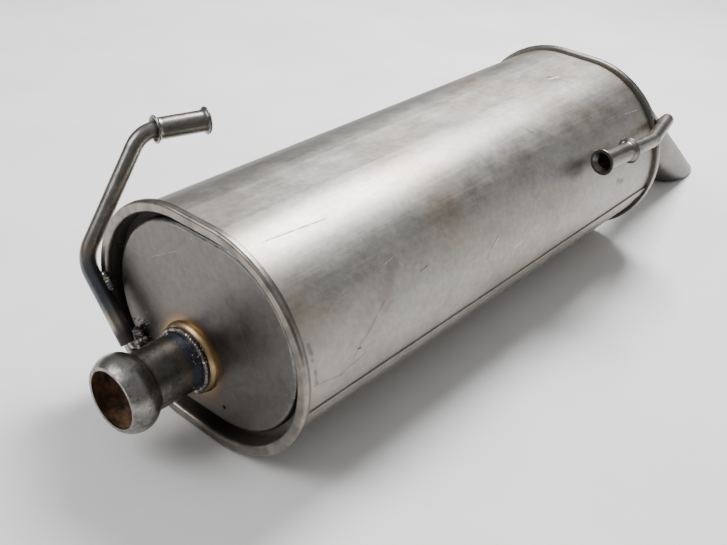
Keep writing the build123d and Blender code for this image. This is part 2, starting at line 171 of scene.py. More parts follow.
class Graph:
    """The node tree of one material."""

    def __init__(self, name: str) -> None:
        """Makes a material with an empty tree, its surface shader and its output."""
        self.material = bpy.data.materials.new(name)
        self.material.use_nodes = True
        self.tree = self.material.node_tree
        self.tree.nodes.clear()
        output = self.tree.nodes.new("ShaderNodeOutputMaterial")
        self.surface = self.tree.nodes.new("ShaderNodeBsdfPrincipled")
        self.tree.links.new(self.surface.outputs[0], output.inputs["Surface"])
        self.place = self.node("ShaderNodeTexCoord", {}, {}).outputs["Object"]
        split = self.node("ShaderNodeSeparateXYZ", {}, {0: self.place})
        self.x, self.y, self.z = (Amount(self, split.outputs[axis]) for axis in range(3))

    def node(self, kind: str, settings: dict, inputs: dict) -> bpy.types.Node:
        """Adds one node.

        Args:
            kind: the node's type.
            settings: its properties; stops is a ramp's list of place and colour.
            inputs: socket name or number to a value, a colour, an Amount or a socket.

        Returns:
            The node.
        """
        made = self.tree.nodes.new(kind)
        for key, value in settings.items():
            if key == "stops":
                ramp = made.color_ramp.elements
                while len(ramp) < len(value):
                    ramp.new(1.0)
                for stop, (place, colour) in zip(ramp, value):
                    stop.position = place
                    stop.color = (*colour, 1.0)
            else:
                setattr(made, key, value)
        for key, value in inputs.items():
            self.feed(made.inputs[key], value)
        return made

    def feed(self, socket: bpy.types.NodeSocket, value: object) -> None:
        """Links or sets one input socket."""
        if isinstance(value, Amount):
            value = value.socket
        if isinstance(value, bpy.types.NodeSocket):
            self.tree.links.new(value, socket)
        elif isinstance(value, tuple) and len(value) == 3 and socket.type == "RGBA":
            socket.default_value = (*value, 1.0)
        else:
            socket.default_value = value

    def stretched(self, scale: tuple[float, float, float]) -> bpy.types.NodeSocket:
        """The place, scaled along each axis."""
        made = self.node("ShaderNodeVectorMath", {"operation": "MULTIPLY"}, {0: self.place, 1: scale})
        return made.outputs[0]

    def grain(
        self,
        scale: float,
        detail: float = 3.0,
        stretch: tuple[float, float, float] = (1.0, 1.0, 1.0),
        roughness: float = 0.55,
    ) -> Amount:
        """Cloudy noise.

        Args:
            scale: features per metre.
            detail: number of octaves.
            stretch: a factor on the scale along each axis.
            roughness: how strong the fine octaves are.

        Returns:
            A value around 0.5.
        """
        made = self.node(
            "ShaderNodeTexNoise", {},
            {"Vector": self.stretched(stretch), "Scale": scale, "Detail": detail, "Roughness": roughness},
        )
        return Amount(self, made.outputs["Fac"])

    def cells(self, scale: float, stretch: tuple[float, float, float] = (1.0, 1.0, 1.0)) -> Amount:
        """Distance to the nearest of many scattered points, in cell sizes."""
        made = self.node("ShaderNodeTexVoronoi", {}, {"Vector": self.stretched(stretch), "Scale": scale})
        return Amount(self, made.outputs["Distance"])

    def distance(self, centre: Vector) -> Amount:
        """How far each place is from a centre, in metres."""
        gap = self.node(
            "ShaderNodeVectorMath", {"operation": "DISTANCE"}, {0: self.place, 1: tuple(centre)})
        return Amount(self, gap.outputs["Value"])

    def paint(
        self, base: object, top: object, mask: Amount | float, blend: Blend = Blend.MIX,
    ) -> bpy.types.NodeSocket:
        """Lays one colour over another.

        Args:
            base: colour or colour socket underneath.
            top: colour or colour socket on top.
            mask: where the top shows.
            blend: how it is laid.

        Returns:
            The mixed colour's socket.
        """
        made = self.node(
            "ShaderNodeMix", {"data_type": "RGBA", "blend_type": blend.value}, {0: mask, 6: base, 7: top})
        return made.outputs[2]

    def tones(self, value: Amount, *stops: tuple[float, Colour]) -> bpy.types.NodeSocket:
        """A colour ramp over a value."""
        return self.node("ShaderNodeValToRGB", {"stops": list(stops)}, {0: value}).outputs[0]

    def finish(
        self,
        colour: object,
        roughness: Amount | float,
        height: Amount | None = None,
        relief: float = 0.0002,
        metallic: Amount | float = 1.0,
    ) -> bpy.types.Material:
        """Feeds the surface shader.

        Args:
            colour: base colour.
            roughness: surface roughness.
            height: relief from 0 to 1, if there is any.
            relief: the height of that relief in metres.
            metallic: how much of the surface is bare metal.

        Returns:
            The finished material.
        """
        self.feed(self.surface.inputs["Base Color"], colour)
        self.feed(self.surface.inputs["Roughness"], roughness)
        self.feed(self.surface.inputs["Metallic"], metallic)
        if height is not None:
            bump = self.node("ShaderNodeBump", {}, {"Strength": 1.0, "Distance": relief, "Height": height})
            self.feed(self.surface.inputs["Normal"], bump.outputs[0])
        return self.material

    def stroke(self, start: Vector, end: Vector, ragged: float = 0.0) -> Amount:
        """How far each place is from a line between two points.

        Args:
            start: one end of the line.
            end: the other end.
            ragged: how far noise pushes the edge about, in metres.

        Returns:
            The distance in metres.
        """
        run = end - start
        away = self.node("ShaderNodeVectorMath", {"operation": "SUBTRACT"}, {0: self.place, 1: tuple(start)})
        along = self.node(
            "ShaderNodeVectorMath", {"operation": "DOT_PRODUCT"}, {0: away.outputs[0], 1: tuple(run)})
        share = (Amount(self, along.outputs["Value"]) * (1.0 / run.length_squared)).at_least(0.0).at_most(1.0)
        foot = self.node(
            "ShaderNodeVectorMath", {"operation": "SCALE"}, {0: tuple(run), "Scale": share})
        gap = self.node(
            "ShaderNodeVectorMath", {"operation": "DISTANCE"}, {0: away.outputs[0], 1: foot.outputs[0]})
        distance = Amount(self, gap.outputs["Value"])
        return distance + (self.grain(260.0, 3.0) - 0.5) * ragged if ragged else distance


# ---------------------------------------------------------------- finishes


@dataclass
class Look:
    """A surface while its layers are being laid.

    Attributes:
        graph: the material's node tree.
        colour: base colour so far.
        rough: roughness so far.
        height: relief, around 0.5.
        metal: how much of it is bare metal.
    """

    graph: Graph
    colour: object
    rough: Amount
    height: Amount
    metal: Amount | float = 1.0

    def lay(
        self, mask: Amount, colour: object, rough: float | None = None, metal: float | None = None,
    ) -> None:
        """Lays one more layer.

        Args:
            mask: where the layer lies.
            colour: its colour.
            rough: its roughness, if it has its own.
            metal: how metallic it is, if it has its own.
        """
        self.colour = self.graph.paint(self.colour, colour, mask)
        if rough is not None:
            self.rough = self.rough + (rough - self.rough) * mask
        if metal is not None:
            self.metal = self.metal + (metal - self.metal) * mask

    def shade(self, factor: Amount) -> None:
        """Darkens or brightens the colour by a factor."""
        grey = self.graph.node("ShaderNodeCombineColor", {}, {0: factor, 1: factor, 2: factor})
        self.colour = self.graph.paint(self.colour, grey.outputs[0], 1.0, Blend.MULTIPLY)


@dataclass(frozen=True)
class Mark:
    """A scratch, scuff or stain, drawn as a ragged line.

    Attributes:
        start: one end.
        end: the other end.
        width: half width in metres.
        colour: colour in the middle.
        strength: how well it covers.
        rough: roughness in the middle.
    """

    start: Vector
    end: Vector
    width: float
    colour: Colour
    strength: float = 0.8
    rough: float = 0.5

    RAGGED = 2.2                # how far the edge wanders, in half widths
    CORE = 0.3                  # share of the width that is fully covered

    def lay_on(self, look: Look) -> None:
        """Lays the mark on a surface."""
        distance = look.graph.stroke(self.start, self.end, self.width * self.RAGGED)
        mask = distance.rise(self.width, self.width * self.CORE) * self.strength
        look.lay(mask, self.colour, self.rough)


BROWN_TINT: Colour = (0.29, 0.245, 0.19)
GOLD_TINT: Colour = (0.50, 0.35, 0.17)
BLUE_TINT: Colour = (0.105, 0.125, 0.185)
DEEP_BLUE: Colour = (0.05, 0.065, 0.095)
# Painted shade for the dark groove of the end caps.
GROOVE_SHADE: Colour = (0.018, 0.015, 0.013)
GRIME: Colour = (0.045, 0.033, 0.024)
DUST: Colour = (0.24, 0.20, 0.165)
SCALE: Colour = (0.12, 0.11, 0.10)
RUBBED: Colour = (0.15, 0.13, 0.115)
# Bright wear specks on the pipes, and the painted highlight along the end panel's edge.
WORN_AND_HIGHLIGHT: Colour = (0.42, 0.41, 0.39)
HAIRLINE: Colour = (0.55, 0.54, 0.52)
BRIGHT: Colour = (0.72, 0.71, 0.69)
EVEN = (1.0, 1.0, 1.0)


@dataclass(frozen=True)
class Finish:
    """Bare steel.

    Attributes:
        name: the material's name.
        clean: colour of the clean metal.
        tint: warm colour that lies on it in clouds.
        tint_share: how much of it is tinted.
        rough: middle roughness.
        brush: scale of the fine streaks along each axis.
        brush_depth: how strong the streaks are.
        dents: half the depth of the slow unevenness, in metres.
        marks: scratches, scuffs and stains.
    """

    name: str
    clean: Colour
    tint: Colour = BROWN_TINT
    tint_share: float = 0.4
    rough: float = 0.3
    brush: tuple[float, float, float] = (14.0, 700.0, 700.0)
    brush_depth: float = 0.14
    dents: float = 0.4 * MM
    marks: tuple[Mark, ...] = ()

    def base(self, graph: Graph) -> Look:
        """The even metal with its clouds, streaks and mottling.

        Args:
            graph: the material's node tree.

        Returns:
            The surface, ready for its next layers.
        """
        streaks = graph.grain(1.0, 4.0, self.brush, 0.6) - 0.5
        clouds = graph.grain(13.0, 5.0, (0.7, 1.3, 1.3), 0.6)
        smears = graph.grain(44.0, 6.0, (0.8, 1.2, 1.2), 0.7)
        mottle = graph.grain(210.0, 4.0) - 0.5
        slow = graph.grain(11.0, 1.0, (0.8, 1.3, 1.3), 0.4)
        rough = streaks * self.brush_depth + smears * 0.22 + (self.rough - 0.11)
        look = Look(graph, self.clean, rough.at_least(0.08), slow + streaks * 0.02)
        look.lay(clouds.rise(0.42, 0.72) * self.tint_share, self.tint)
        look.shade(streaks * (self.brush_depth * 1.6) + (smears - 0.5) * 0.7 + mottle * 0.55 + 1.0)
        return look

    def dress(self, look: Look) -> None:
        """Adds what is special to one kind of part; plain steel has nothing more."""

    def wear(self, look: Look) -> None:
        """Adds specks of dirt, bright nicks, hairlines and the listed marks.

        Args:
            look: the surface to wear.
        """
        graph = look.graph
        specks = graph.cells(520.0).rise(0.2, 0.1) * graph.grain(32.0, 3.0).rise(0.5, 0.68)
        look.lay(specks * 0.7, GRIME, 0.6)
        nicks = graph.cells(330.0, (0.35, 1.0, 1.0)).rise(0.12, 0.05)
        look.lay(nicks * graph.grain(21.0, 2.0).rise(0.52, 0.64) * 0.6, BRIGHT, 0.3)
        hairs = graph.cells(85.0, (0.14, 1.0, 1.0)).rise(0.05, 0.02) * graph.grain(26.0, 3.0).rise(0.5, 0.6)
        look.lay(hairs * 0.6, HAIRLINE, 0.3)
        for mark in self.marks:
            mark.lay_on(look)

    def material(self) -> bpy.types.Material:
        """Builds the whole material."""
        graph = Graph(self.name)
        look = self.base(graph)
        self.dress(look)
        self.wear(look)
        return graph.finish(look.colour, look.rough, look.height, self.dents * 2.0, look.metal)


def end_reach(graph: Graph) -> Amount:
    """How far each place is from the body's middle, along its length."""
    return abs(graph.x - BODY_MIDDLE_X)


def spine_distance(graph: Graph) -> Amount:
    """How far each place is from the middle line of the body's oval section.

    Args:
        graph: the material's node tree.

    Returns:
        The distance in metres, across the body only.
    """
    side = (abs(graph.y - BODY_Y) - HALF_FLAT).at_least(0.0)
    up = graph.z - BODY_Z
    return (side * side + up * up).root()


@dataclass(frozen=True)
class ShellFinish(Finish):
    """The outer sheet: tinted towards both ends, with a dirt line at each rim and painted shade on its
    underside.

    Attributes:
        tinted_ends: where the tint of the ends starts and where it is full, from the body's middle.
        dirt_line: the same for the dirt beside the rims.
        shadow_side: the same for the painted shade that darkens the underside, given as heights above the
            section's middle line.
    """

    tinted_ends: tuple[float, float] = (190 * MM, 232 * MM)
    dirt_line: tuple[float, float] = (230 * MM, 231.5 * MM)
    shadow_side: tuple[float, float] = (0.0, -60 * MM)

    def dress(self, look: Look) -> None:
        """Adds the tinted ends, the dirt beside each rim and painted shade on the underside.

        Args:
            look: the surface to dress.
        """
        graph = look.graph
        reach = end_reach(graph)
        wander = (graph.grain(60.0, 3.0) - 0.5) * (20 * MM)
        look.lay((reach + wander).rise(*self.tinted_ends) * 0.3, BROWN_TINT, 0.42)
        look.lay(reach.rise(*self.dirt_line) * 0.4, GRIME, 0.6)
        # Painted shade: brown-grey darkening below the section's middle line.
        drift = (graph.grain(18.0, 4.0) - 0.5) * (50 * MM)
        look.lay((graph.z - BODY_Z + drift).rise(*self.shadow_side) * 0.5, (0.16, 0.13, 0.10), 0.45)


@dataclass(frozen=True)
class CapFinish(Finish):
    """A pressed end: smooth panel with a painted highlight along its edge, painted shade in its groove, a rim
    with brown wear, and heat colours round its pipe.

    Attributes:
        hub: middle of the pipe's hole, as Y and Z.
        heat: how strong the heat colours are.
        pipe_radius: where the heat colours start, from the hub.
        heat_width: how far out the last heat colour lies from there.
    """

    hub: tuple[float, float] = (0.0, 0.0)
    heat: float = 1.0
    pipe_radius: float = 20 * MM
    heat_width: float = 36 * MM

    def dress(self, look: Look) -> None:
        """Adds the layers from the hub outwards.

        Args:
            look: the surface to dress.
        """
        graph = look.graph
        spine, reach = spine_distance(graph), end_reach(graph)
        ragged = (graph.grain(120.0, 4.0) - 0.5) * (4 * MM)
        self.lay_heat(look, ragged)
        self.lay_panel_edge_highlight(look, spine, reach)
        self.lay_groove_shade(look, spine, reach, ragged)
        self.lay_rim(look, reach)

    def lay_heat(self, look: Look, ragged: Amount) -> None:
        """Rings of straw, brown and blue round the pipe.

        Args:
            look: the surface.
            ragged: how far the rings wander.
        """
        graph = look.graph
        across = graph.node("ShaderNodeCombineXYZ", {}, {1: graph.y - self.hub[0], 2: graph.z - self.hub[1]})
        ring = graph.node("ShaderNodeVectorMath", {"operation": "LENGTH"}, {0: across.outputs[0]})
        radius = Amount(graph, ring.outputs["Value"]) + ragged * 0.9
        tone = graph.tones(
            (radius - self.pipe_radius) * (1.0 / self.heat_width),
            (0.0, (0.05, 0.05, 0.065)), (0.09, (0.20, 0.15, 0.11)), (0.16, (0.42, 0.29, 0.15)),
            (0.22, (0.26, 0.18, 0.11)), (0.36, (0.15, 0.115, 0.09)), (0.6, (0.19, 0.16, 0.135)),
            (1.0, self.clean),
        )
        look.lay(radius.rise(42 * MM, 27 * MM) * self.heat, tone, 0.36)

    def lay_panel_edge_highlight(self, look: Look, spine: Amount, reach: Amount) -> None:
        """A thin painted highlight along the panel's edge, broken up by noise.

        Args:
            look: the surface.
            spine: distance from the section's middle line.
            reach: distance from the body's middle.
        """
        # Painted highlight: a light line along the panel's rounded edge.
        edge = spine.rise(65.5 * MM, 67.5 * MM) * spine.rise(70.5 * MM, 68.5 * MM)
        edge_breakup = look.graph.grain(90.0, 3.0).rise(0.38, 0.6)
        look.lay(edge * reach.rise(227.5 * MM, 229.5 * MM) * edge_breakup * 0.35, WORN_AND_HIGHLIGHT, 0.3)

    def lay_groove_shade(self, look: Look, spine: Amount, reach: Amount, ragged: Amount) -> None:
        """Painted shade in the groove, darkest on the high far side.

        Args:
            look: the surface.
            spine: distance from the section's middle line.
            reach: distance from the body's middle.
            ragged: how far the painted shade's edge wanders.
        """
        # Painted shade: near-black laid in the groove, strongest towards +Y and +Z.
        groove = (spine + ragged).rise(67.5 * MM, 70.5 * MM) * spine.rise(78.5 * MM, 76.5 * MM)
        deep = reach.rise(234.5 * MM, 228.5 * MM)
        shaded_side = (look.graph.y + look.graph.z).rise(-60 * MM, 70 * MM) * 0.85
        look.lay(groove * deep * shaded_side, GROOVE_SHADE, 0.75, 0.25)

    def lay_rim(self, look: Look, reach: Amount) -> None:
        """Brown wear on the rim's crest, and dust low on the panel.

        Args:
            look: the surface.
            reach: distance from the body's middle.
        """
        graph = look.graph
        crest = reach.rise(233 * MM, 235 * MM) * (graph.grain(75.0, 5.0).rise(0.35, 0.65) * 0.7 + 0.15)
        look.lay(crest, (0.33, 0.29, 0.25), 0.32)
        drift = (graph.grain(70.0, 4.0) - 0.5) * (40 * MM)
        dust = (graph.z + drift).rise(0.0, -40 * MM) * reach.rise(237.5 * MM, 230 * MM)
        look.lay(dust * 0.35, DUST, 0.5)


@dataclass(frozen=True)
class PipeFinish(Finish):
    """A pipe that has run hot.

    Attributes:
        hot_x: X of the weld that tints it.
        mottled: how strongly dark scale and bright specks cover it.
        rusty_inside: whether rust lies on its inner face.
    """

    hot_x: float = 0.0
    mottled: float = 0.7
    rusty_inside: bool = False

    def dress(self, look: Look) -> None:
        """Adds mottling, the weld's heat colours and the rust inside.

        Args:
            look: the surface to dress.
        """
        graph = look.graph
        mottle = graph.grain(150.0, 6.0, EVEN, 0.7)
        look.lay(mottle.rise(0.46, 0.62) * self.mottled, SCALE, 0.45)
        look.lay(graph.grain(420.0, 3.0).rise(0.61, 0.68) * self.mottled, WORN_AND_HIGHLIGHT, 0.3)
        near = abs(graph.x - self.hot_x) + (mottle - 0.5) * (6 * MM)
        look.lay(near.rise(13 * MM, 4 * MM) * 0.8, BLUE_TINT, 0.4)
        straw = near.rise(17 * MM, 12 * MM) * near.rise(6 * MM, 11 * MM)
        look.lay(straw * 0.2, GOLD_TINT, 0.35)
        if self.rusty_inside:
            self.lay_rust(look, mottle)

    def lay_rust(self, look: Look, mottle: Amount) -> None:
        """Rust wherever the surface faces the pipe's axis, which is the X axis.

        Args:
            look: the surface.
            mottle: picks the rust's shade.
        """
        graph = look.graph
        facing = graph.node("ShaderNodeNewGeometry", {}, {}).outputs["Normal"]
        split = graph.node("ShaderNodeSeparateXYZ", {}, {0: facing})
        outward = Amount(graph, split.outputs[1]) * graph.y + Amount(graph, split.outputs[2]) * graph.z
        rust = graph.tones(
            mottle, (0.35, (0.02, 0.013, 0.01)), (0.5, (0.12, 0.065, 0.035)), (0.68, (0.27, 0.14, 0.07)))
        look.lay(outward.rise(0.0, -4 * MM), rust, 0.85, 0.1)


@dataclass(frozen=True)
class RodFinish(Finish):
    """A round bar: blue beside its weld to the rim, with scale at its foot.

    Attributes:
        foot: where the rod ends, on the body.
        crossing: where it is welded to the rim.
    """

    foot: Vector = field(default_factory=Vector)
    crossing: Vector = field(default_factory=Vector)

    def dress(self, look: Look) -> None:
        """Adds scale and the heat colours.

        Args:
            look: the surface to dress.
        """
        graph = look.graph
        scale = graph.grain(95.0, 6.0, EVEN, 0.7)
        look.lay(scale.rise(0.48, 0.66) * 0.55, (0.085, 0.075, 0.065), 0.5)
        near = graph.distance(self.crossing) + (scale - 0.5) * (8 * MM)
        look.lay(near.rise(30 * MM, 10 * MM) * 0.75, DEEP_BLUE, 0.36)
        straw = near.rise(34 * MM, 28 * MM) * near.rise(20 * MM, 26 * MM)
        look.lay(straw * 0.15, GOLD_TINT, 0.3)
        end = graph.distance(self.foot) + (scale - 0.5) * (6 * MM)
        look.lay(end.rise(17 * MM, 9 * MM) * 0.9, (0.05, 0.042, 0.038), 0.6)


@dataclass(frozen=True)
class WeldFinish(Finish):
    """Weld metal: dark scale with blue patches and bright crests."""

    def dress(self, look: Look) -> None:
        """Adds scale, blue patches and bright spots.

        Args:
            look: the surface to dress.
        """
        graph = look.graph
        scale = graph.grain(230.0, 6.0, EVEN, 0.7)
        look.lay(scale.rise(0.42, 0.55) * 0.9, (0.07, 0.062, 0.066), 0.5)
        look.lay(graph.grain(90.0, 3.0).rise(0.5, 0.62) * 0.5, BLUE_TINT, 0.35)
        look.lay(graph.grain(340.0, 4.0).rise(0.57, 0.64) * 0.8, (0.75, 0.72, 0.66), 0.25)


@dataclass(frozen=True)
class WoolFinish(Finish):
    """Packed glass fibre."""

    def base(self, graph: Graph) -> Look:
        """Matted threads, browned in patches.

        Args:
            graph: the material's node tree.

        Returns:
            The surface, ready for its next layers.
        """
        threads = graph.grain(1.0, 6.0, (160.0, 900.0, 900.0), 0.75)
        look = Look(graph, self.clean, threads * 0.1 + 0.85, threads, 0.0)
        look.lay(graph.grain(60.0, 5.0).rise(0.4, 0.7) * 0.5, self.tint)
        look.shade(threads * 0.7 + 0.6)
        return look


SHELL_MARKS = (
    # A broad scuff on top, near the rear rim, with a bright core.
    Mark(at(416, -16, 110), at(446, -36, 108), 5.5 * MM, (0.13, 0.13, 0.135), 0.65, 0.6),
    Mark(at(427, -22, 110), at(434, -40, 107), 3.4 * MM, (0.08, 0.075, 0.075), 0.7, 0.6),
    Mark(at(424, -24, 110), at(436, -27, 109), 1.3 * MM, BRIGHT, 0.8, 0.4),
    # Bright nicks halfway along the flank.
    Mark(at(228, -105, 49), at(239, -103, 55), 0.8 * MM, BRIGHT, 0.6, 0.4),
    Mark(at(262, -106.7, 40), at(272, -106.5, 42), 0.6 * MM, BRIGHT, 0.5, 0.4),
    # A pit, and a dark wedge beside the front rim.
    Mark(at(79, -106.5, 39.5), at(81, -106.5, 39.5), 1.6 * MM, GRIME, 0.9, 0.7),
    Mark(at(37.6, -101, 60.7), at(39.9, -107, 32.5), 2.2 * MM, (0.12, 0.10, 0.085), 0.5, 0.6),
    # A dark line on top of the front end, and a scratch beside it.
    Mark(at(48.2, -51.4, 106), at(99, -55.7, 104.5), 0.9 * MM, (0.09, 0.075, 0.06), 0.65, 0.5),
    Mark(at(30.4, -10.3, 109.5), at(40.7, -7.8, 109.5), 0.8 * MM, BRIGHT, 0.9, 0.3),
    # Scratches and a stain towards the rear.
    Mark(at(326.4, -57.3, 104.1), at(332.4, -66.6, 99.5), 0.8 * MM, (0.12, 0.10, 0.085), 0.8, 0.5),
    Mark(at(460.7, -84.2, 86.2), at(481.5, -85.7, 84.8), 0.8 * MM, BRIGHT, 0.8, 0.3),
    Mark(at(424, -106.4, 41), at(434, -106.6, 38), 3.6 * MM, (0.15, 0.12, 0.095), 0.6, 0.5),
    # Rub marks that run down the front flank to the pit.
    Mark(at(38, -107, 33), at(66, -107, 27), 1.0 * MM, (0.20, 0.18, 0.16), 0.5, 0.5),
    Mark(at(126, -92, 77), at(107, -102.5, 57), 8.0 * MM, (0.22, 0.19, 0.16), 0.4, 0.5),
    Mark(at(109, -101.5, 60), at(86, -106.5, 44), 0.8 * MM, RUBBED, 0.45, 0.5),
    Mark(at(98, -104.5, 54), at(74, -107, 36), 1.0 * MM, RUBBED, 0.4, 0.5),
    Mark(at(62, -107, 28), at(86, -107, 33), 0.5 * MM, GRIME, 0.6, 0.5),
    # Short scratches along the flank and the top.
    Mark(at(118, -91, 78), at(133, -89.5, 79.5), 0.5 * MM, BRIGHT, 0.9, 0.3),
    Mark(at(137, -99.5, 63), at(156, -99, 65), 0.6 * MM, GRIME, 0.7, 0.5),
    Mark(at(175, -89, 80), at(184, -92, 76), 0.6 * MM, (0.16, 0.14, 0.12), 0.7, 0.5),
    Mark(at(180, -5, 110), at(196, -12, 110), 0.5 * MM, (0.17, 0.15, 0.13), 0.7, 0.5),
    Mark(at(170, -22, 110), at(184, -18, 110), 0.4 * MM, BRIGHT, 0.8, 0.3),
    Mark(at(238, -103, 56), at(223, -105.4, 46), 1.6 * MM, (0.24, 0.21, 0.18), 0.6, 0.5),
)
PANEL_X = 32.8
PANEL_MARKS = (
    Mark(at(PANEL_X, 38, 62), at(PANEL_X, 12, 78), 0.2 * MM, BRIGHT, 0.2, 0.35),
    Mark(at(PANEL_X, -46, 50), at(PANEL_X, -62, 18), 0.2 * MM, BRIGHT, 0.2, 0.35),
    Mark(at(PANEL_X, -30, 74), at(PANEL_X, 6, 66), 0.2 * MM, GRIME, 0.35, 0.35),
    Mark(at(PANEL_X, -34, -8), at(PANEL_X, -52, 6), 1.4 * MM, (0.15, 0.12, 0.10), 0.5, 0.5),
)
PANEL_BRUSH = (300.0, 60.0, 500.0)

SHELL_STEEL = ShellFinish(
    "shell_steel", (0.325, 0.315, 0.298), rough=0.42, tint_share=0.75, dents=0.7 * MM, marks=SHELL_MARKS)
FRONT_CAP_STEEL = CapFinish(
    "front_cap_steel", (0.145, 0.138, 0.13), tint=(0.12, 0.098, 0.08), rough=0.36, dents=0.3 * MM,
    brush=PANEL_BRUSH, brush_depth=0.08, marks=PANEL_MARKS,
)
REAR_CAP_STEEL = CapFinish(
    "rear_cap_steel", (0.25, 0.24, 0.225), tint=(0.22, 0.175, 0.135), rough=0.29,
    brush=PANEL_BRUSH, brush_depth=0.08, hub=(TAIL_Y, TAIL_Z), heat=0.85,
)
INLET_STEEL = PipeFinish(
    "inlet_steel", (0.29, 0.278, 0.262), tint=(0.17, 0.15, 0.13), rough=0.31, dents=0.3 * MM,
    brush=(90.0, 90.0, 90.0), hot_x=24 * MM, rusty_inside=True,
)
TAIL_STEEL = PipeFinish(
    "tail_steel", (0.105, 0.10, 0.094), rough=0.36, dents=0.1 * MM, tint_share=0.35,
    brush=(60.0, 60.0, 60.0), hot_x=500 * MM, mottled=0.12,
)
WELD_METAL = WeldFinish("weld_metal", (0.33, 0.29, 0.25), rough=0.34, brush=(300.0, 300.0, 300.0))
INNER_STEEL = Finish("inner_steel", (0.21, 0.19, 0.165), rough=0.42, tint_share=0.7)
MESH_STEEL = Finish("mesh_steel", (0.30, 0.28, 0.25), rough=0.4, brush=(1400.0, 1400.0, 1400.0))
SLEEVE_STEEL = Finish(
    "sleeve_steel", (0.20, 0.19, 0.178), tint_share=0.25, brush=(60.0, 500.0, 500.0), dents=0.2 * MM)
GLASS_WOOL = WoolFinish("glass_wool", (0.66, 0.62, 0.50), tint=(0.38, 0.31, 0.20))


# ---------------------------------------------------------------- meshes


def whole(name: str, shape: bmesh.types.BMesh, metal: bpy.types.Material) -> bpy.types.Object:
    """Turns weld metal's faces into a smooth named piece that rides on the body.

    Args:
        name: the piece's name.
        shape: its faces; freed here.
        metal: its finish.

    Returns:
        The new object.
    """
    bmesh.ops.recalc_face_normals(shape, faces=shape.faces)
    mesh = bpy.data.meshes.new(name)
    shape.to_mesh(mesh)
    shape.free()
    mesh.polygons.foreach_set("use_smooth", [True] * len(mesh.polygons))
    mesh.materials.append(metal)
    made = bpy.data.objects.new(name, mesh)
    bpy.context.scene.collection.objects.link(made)
    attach(made, "root")
    log.info("%s: %d faces", name, len(mesh.polygons))
    return made


@dataclass(frozen=True)
class Bead:
    """A rippled weld bead laid along a path.

    Attributes:
        path: places along it, in metres.
        radius: half its width.
        out: the way its crest faces.
        closed: whether it runs round.
        pitch: distance between ripples.
    """

    path: tuple[Vector, ...]
    radius: float
    out: Vector
    closed: bool = False
    pitch: float = 2.3 * MM

    SIDES = 18
    VALLEY = 0.86               # reach between two ripples, as a share of the radius
    RIPPLE = 0.16               # how much further a ripple's top reaches
    LEAN = 0.32                 # how far a ripple's top runs ahead of its sides, in pitches
    LUMPS = 0.13                # unevenness, as a share of the radius
    LUMP_SCALE = 210.0
    CROWN = 0.8                 # height of the section, as a share of its half width
    BLUNT = 6                   # how late an open bead's ends close to a point

    def section(self, place: Vector, side: Vector, run: float, close: float, seed: float) -> list[Vector]:
        """One ring of corners round the path.

        Args:
            place: the path's place.
            side: the way across the bead.
            run: distance along the path.
            close: how wide the bead is there, from 0 to 1.
            seed: picks its lumps.

        Returns:
            The corners.
        """
        corners = []
        for corner in range(self.SIDES):
            turn = tau * corner / self.SIDES
            phase = (run / self.pitch + self.LEAN * cos(turn)) % 1.0
            crest = self.VALLEY + self.RIPPLE * (1.0 - (2.0 * phase - 1.0) ** 2) ** 0.5
            lump = 1.0 + self.LUMPS * noise.noise(place * self.LUMP_SCALE + Vector((seed, turn * 0.4, 0.0)))
            way = self.out * cos(turn) * self.CROWN + side * sin(turn)
            corners.append(place + way * (self.radius * close * crest * lump))
        return corners

    def lay(self, shape: bmesh.types.BMesh, seed: float) -> None:
        """Adds the bead's faces to a shape.

        Args:
            shape: where they go.
            seed: picks the bead's lumps.
        """
        count = len(self.path)
        rings = []
        run = 0.0
        for number, place in enumerate(self.path):
            ahead = self.path[(number + 1) % count] if self.closed or number + 1 < count else place
            behind = self.path[number - 1] if self.closed or number else place
            side = (ahead - behind).normalized().cross(self.out).normalized()
            run += (place - self.path[number - 1]).length if number else 0.0
            close = 1.0
            if not self.closed:
                share = abs(2.0 * number / (count - 1) - 1.0)
                close = max(0.0, 1.0 - share ** self.BLUNT) ** 0.5
            corners = self.section(place, side, run, close, seed)
            rings.append([shape.verts.new(corner) for corner in corners])
        pairs = list(zip(rings, rings[1:])) + ([(rings[-1], rings[0])] if self.closed else [])
        for first, second in pairs:
            for corner in range(self.SIDES):
                after = (corner + 1) % self.SIDES
                shape.faces.new((first[corner], first[after], second[after], second[corner]))
        if not self.closed:
            shape.faces.new(rings[0])
            shape.faces.new(rings[-1][::-1])


PATH_STEP = 0.28 * MM


def hoop(centre: Vector, axis: Vector, radius: float) -> tuple[Vector, ...]:
    """Places round a circle.

    Args:
        centre: its middle.
        axis: the way it faces.
        radius: its radius.

    Returns:
        The places, in order.
    """
    first = axis.orthogonal().normalized()
    second = axis.cross(first)
    count = int(tau * radius / PATH_STEP)
    return tuple(
        centre + (first * cos(tau * turn / count) + second * sin(tau * turn / count)) * radius
        for turn in range(count)
    )


def line(start: Vector, end: Vector) -> tuple[Vector, ...]:
    """Places along a straight line."""
    count = max(int((end - start).length / PATH_STEP), 8)
    return tuple(start.lerp(end, number / (count - 1)) for number in range(count))


@dataclass(frozen=True)
class Drop:
    """A lumpy ball of weld metal.

    Attributes:
        centre: its middle.
        size: its half size along each axis.
        seed: picks its lumps.
        detail: how finely it is divided.
        lumps: how uneven it is.
    """

    centre: Vector
    size: Vector
    seed: float
    detail: int = 2
    lumps: float = 0.3

    def lay(self, shape: bmesh.types.BMesh) -> None:
        """Adds the ball's faces to a shape.

        Args:
            shape: where they go.
        """
        made = bmesh.ops.create_icosphere(shape, subdivisions=self.detail, radius=1.0)
        for vertex in made["verts"]:
            way = vertex.co.normalized()
            reach = 1.0 + self.lumps * noise.noise(way * 1.9 + Vector((self.seed, self.seed * 0.7, 0.0)))
            vertex.co = self.centre + Vector(axis * half for axis, half in zip(way * reach, self.size))


